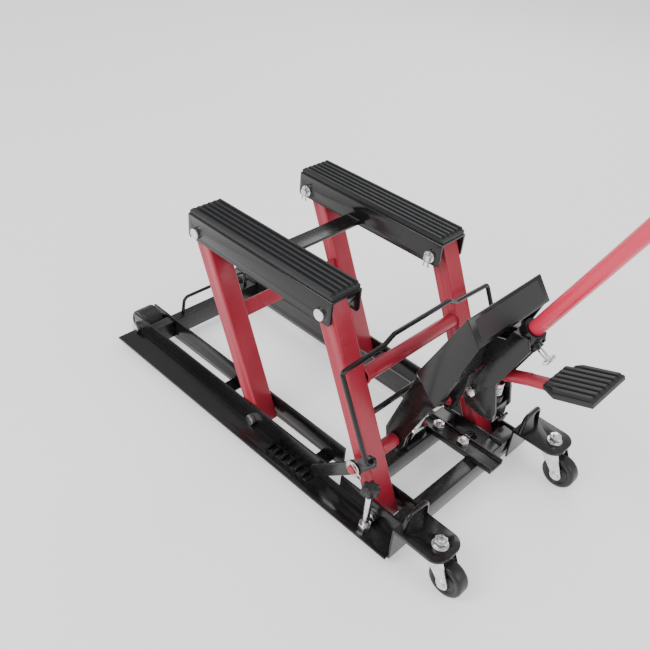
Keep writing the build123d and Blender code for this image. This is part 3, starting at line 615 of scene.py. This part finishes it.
# %% Lobed knobs
def lobed_knob(side_name):
    """Radius at height z and angle a: profile(z) * (1 + lobe * cos(6 a)) with flattened crests."""
    node = f"stabiliser_knob_{side_name}"
    low, high = (np.array(corner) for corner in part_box(node))
    centre = (low + high) / 2
    outer = (high[0] - low[0]) / 2
    height = high[2] - low[2]
    z = np.array([0, 0.0, 0.001, 0.0022, 0.003, 0.0038, 0.0055,
                  0.010, 0.0145, 0.0170, 0.0186, 0.0195, 0.0199])
    z = z / z[-1] * height
    base = np.array([0.0064, 0.0088, 0.0092, 0.0093, 0.0118, 0.0138, 0.0146,
                     0.0148, 0.0144, 0.0134, 0.0118, 0.009, 0.004])
    lobed = np.array([0, 0, 0, 0, 0.6, 0.9, 1, 1, 1, 0.9, 0.7, 0.3, 0.0])
    a = np.linspace(0, 2 * math.pi, 180, endpoint=False)
    wave = np.tanh(1.6 * np.cos(6 * a)) / math.tanh(1.6)
    radius = base[:, None] + lobed[:, None] * (outer - 0.0149) * (wave[None] - 0.15)
    points = np.zeros((len(z), len(a), 3))
    points[..., 0] = centre[0] + radius * np.cos(a)
    points[..., 1] = centre[1] + radius * np.sin(a)
    points[..., 2] = low[2] + z[:, None]
    knob = grid_piece(f"lobed_knob_{side_name}", points)
    return finish_piece(knob, FINISH["knob_plastic"], f"knob_{side_name}", "knob_plastic", node)


for side_name in ("left", "right"):
    print(lobed_knob(side_name).name)

# %% [markdown]
# ## Plunger spring
# A return spring stands between the pump barrel and the plunger's cap. It is a wire carried along
# a helix whose end coils lie flat.


# %% The coil spring
def plunger_spring():
    """Wire centre: radius (cos a, sin a) and a height that rises slowly, evenly, then slowly."""
    low, high = (np.array(corner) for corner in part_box("plunger_spring"))
    centre = (low + high) / 2
    wire, coil_radius = 0.0010, 0.009
    t = np.linspace(0, 1, 420)
    turns = 5.5
    a = t * turns * 2 * math.pi
    rise = np.clip((t - 0.10) / 0.80, 0, 1)
    z = low[2] + wire + rise * (high[2] - low[2] - 2 * wire)
    path = np.stack([centre[0] + coil_radius * np.cos(a), centre[1] + coil_radius * np.sin(a), z], -1)
    spring = tube_along("plunger_coil", path, wire, 12)
    finish_piece(spring, FINISH["zinc_plate"], "pump_unit", "zinc_plate", "plunger_spring")
    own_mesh(spring)
    return spring


print(plunger_spring().name)

# %% [markdown]
# ## Welds
# The red tubes and the link bar are welded on. A hand-laid bead is a row of small overlapping
# ripples, so its radius pulses as it goes round the joint.


# %% Rippled weld beads
def ring_weld(name, centre, ring_radius, body, finish, slot, bead=0.0022, ripples=30):
    """Ring in the X-Z plane. Bead radius = bead * (1 + 0.16 * |sin(ripples * a / 2)|)."""
    a = np.linspace(0, 2 * math.pi, 240, endpoint=False)
    path = np.array(centre) + ring_radius * np.stack([np.cos(a), 0 * a, np.sin(a)], -1)
    radius = bead * (0.92 + 0.16 * np.abs(np.sin(a * ripples / 2)))
    weld = tube_along(name, path, radius, 10, closed=True)
    return finish_piece(weld, finish, body, slot)


def seam_weld(name, start, end, body, finish, slot, bead=0.0022, pitch=0.0030):
    """Straight bead from start to end with the same ripples, closed by rounded ends."""
    start, end = np.array(start, float), np.array(end, float)
    length = np.linalg.norm(end - start)
    t = np.linspace(0, 1, max(40, int(length / 0.0005)))
    path = start + t[:, None] * (end - start)
    ripple = 0.92 + 0.16 * np.abs(np.sin(math.pi * t * length / pitch))
    taper = np.sqrt(np.clip(np.minimum(t, 1 - t) * length / bead, 0.02, 1))
    weld = tube_along(name, path, bead * ripple * taper, 10)
    return finish_piece(weld, finish, body, slot)


LEG_FACE_Y, SADDLE_FACE_Y, MEMBER_WELD_Y = 0.1205, 0.1005, 0.1128
tube_low, tube_high = (np.array(corner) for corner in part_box("rear_leg_tube"))
tube_centre = (tube_low + tube_high) / 2
trunnion_low, trunnion_high = (np.array(corner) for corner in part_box("leg_trunnions"))
trunnion_centre = (trunnion_low + trunnion_high) / 2
link_low, link_high = (np.array(corner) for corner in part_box("saddle_link_bar"))
for side_name, side in (("left", -1), ("right", 1)):
    ring_weld(f"tube_weld_{side_name}", (tube_centre[0], side * LEG_FACE_Y, tube_centre[2]), 0.0134,
              "rear_legs", RED_WELD, "red_paint")
    ring_weld(f"trunnion_weld_{side_name}", (trunnion_centre[0], side * LEG_FACE_Y, trunnion_centre[2]),
              0.0131, "rear_legs", RED_WELD, "red_paint")
    seam_weld(f"link_weld_{side_name}", (link_low[0] + 0.002, side * SADDLE_FACE_Y, link_high[2]),
              (link_high[0] - 0.002, side * SADDLE_FACE_Y, link_high[2]), "saddle", WELD, "black_paint")
for member in ("front_cross_member", "middle_cross_member", "rear_cross_member"):
    low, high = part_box(member)
    for side_name, side in (("left", -1), ("right", 1)):
        seam_weld(f"{member}_weld_{side_name}", (low[0] + 0.003, side * MEMBER_WELD_Y, high[2]),
                  (high[0] - 0.003, side * MEMBER_WELD_Y, high[2]), "base", WELD, "black_paint")

# %% [markdown]
# ## Blank label
# The cover over the pump carries a flat film label. Only its blank shape is kept: a thin sheet
# with rounded corners, laid on the sloping face.


# %% The blank label on the cover
def cover_label():
    """Rounded rectangle worked out flat: a loop of corner arcs, given thickness in two rows."""
    low, high = (np.array(corner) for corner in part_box("pump_cover"))
    along = np.array([0.0280, 0.0, -0.0360])
    along /= np.linalg.norm(along)
    out = np.array([-along[2], 0.0, along[0]])
    centre = (low + high) / 2 + out * 0.00150
    half_w, half_h, corner = 0.082, 0.0170, 0.003
    a = np.linspace(0, 2 * math.pi, 64, endpoint=False)
    u = np.sign(np.cos(a)) * (half_w - corner) + corner * np.cos(a)
    v = np.sign(np.sin(a)) * (half_h - corner) + corner * np.sin(a)
    loop = u[:, None] * np.array([0.0, 1.0, 0.0]) + v[:, None] * along
    points = centre + np.stack([loop, loop + out * 0.00065, loop * 0.997 + out * 0.0008])
    label = grid_piece("blank_label", points)
    return finish_piece(label, LABEL, "pump_unit", "black_paint")


print(cover_label().name)

# %% [markdown]
# ## Stage, light and camera
# A pale floor that glows a little, a pale room, one large soft light over the left shoulder and
# two weaker fills. The room stays dim, because black gloss paint mirrors it and turns grey. The
# camera looks down at the pump end from the left.


# %% Floor and room
def pale(name, level, rough):
    """Plain pale stage material."""
    material = bpy.data.materials.new(name)
    material.use_nodes = True
    shader = material.node_tree.nodes["Principled BSDF"]
    shader.inputs["Base Color"].default_value = (level, level, level, 1)
    shader.inputs["Roughness"].default_value = rough
    shader.inputs["Specular IOR Level"].default_value = 0.2
    shader.inputs["Emission Color"].default_value = (1.0, 1.0, 1.0, 1)
    shader.inputs["Emission Strength"].default_value = 0.55
    return material


floor_mesh = bpy.data.meshes.new("floor")
reach = 14.0
floor_mesh.from_pydata([(-reach, -reach, 0), (reach, -reach, 0), (reach, reach, 0), (-reach, reach, 0)], [],
                       [(0, 1, 2, 3)])
floor = bpy.data.objects.new("floor", floor_mesh)
bpy.context.collection.objects.link(floor)
floor_mesh.materials.append(pale("pale_floor", 0.93, 0.7))

world = bpy.data.worlds.new("room")
world.use_nodes = True
world.node_tree.nodes["Background"].inputs["Color"].default_value = (1.0, 1.0, 1.0, 1)
world.node_tree.nodes["Background"].inputs["Strength"].default_value = 0.72
bpy.context.scene.world = world


def soft_light(name, place, target, size, watts):
    """Square area light at a place, facing a target."""
    data = bpy.data.lights.new(name, "AREA")
    data.size = size
    data.energy = watts
    lamp = bpy.data.objects.new(name, data)
    bpy.context.collection.objects.link(lamp)
    lamp.location = place
    lamp.rotation_euler = (Vector(target) - Vector(place)).to_track_quat("-Z", "Y").to_euler()
    return lamp


soft_light("key", (-0.6, -2.4, 2.6), (0, 0, 0.2), 1.8, 62)
soft_light("fill", (2.6, 0.6, 1.8), (0.1, 0, 0.2), 1.6, 26)
soft_light("back", (-1.2, 2.4, 2.0), (0, 0, 0.2), 1.6, 22)

# %% Camera
camera_data = bpy.data.cameras.new("camera")
camera = bpy.data.objects.new("camera", camera_data)
bpy.context.collection.objects.link(camera)
right = Vector((0.713894, 0.695288, 0.083248))
up = Vector((-0.468497, 0.385879, 0.794737))
back = Vector((0.520447, -0.60636, 0.601217))
camera.matrix_world = Matrix.Translation((0.67265, -0.87886, 1.05138)) @ Matrix(
    (right, up, back)).transposed().to_4x4()
camera_data.sensor_width = 36.0
camera_data.lens = 42.577
camera_data.shift_x = -0.013146
camera_data.shift_y = 0.008696
camera_data.clip_start = 0.01
bpy.context.scene.camera = camera
bpy.context.view_layer.update()
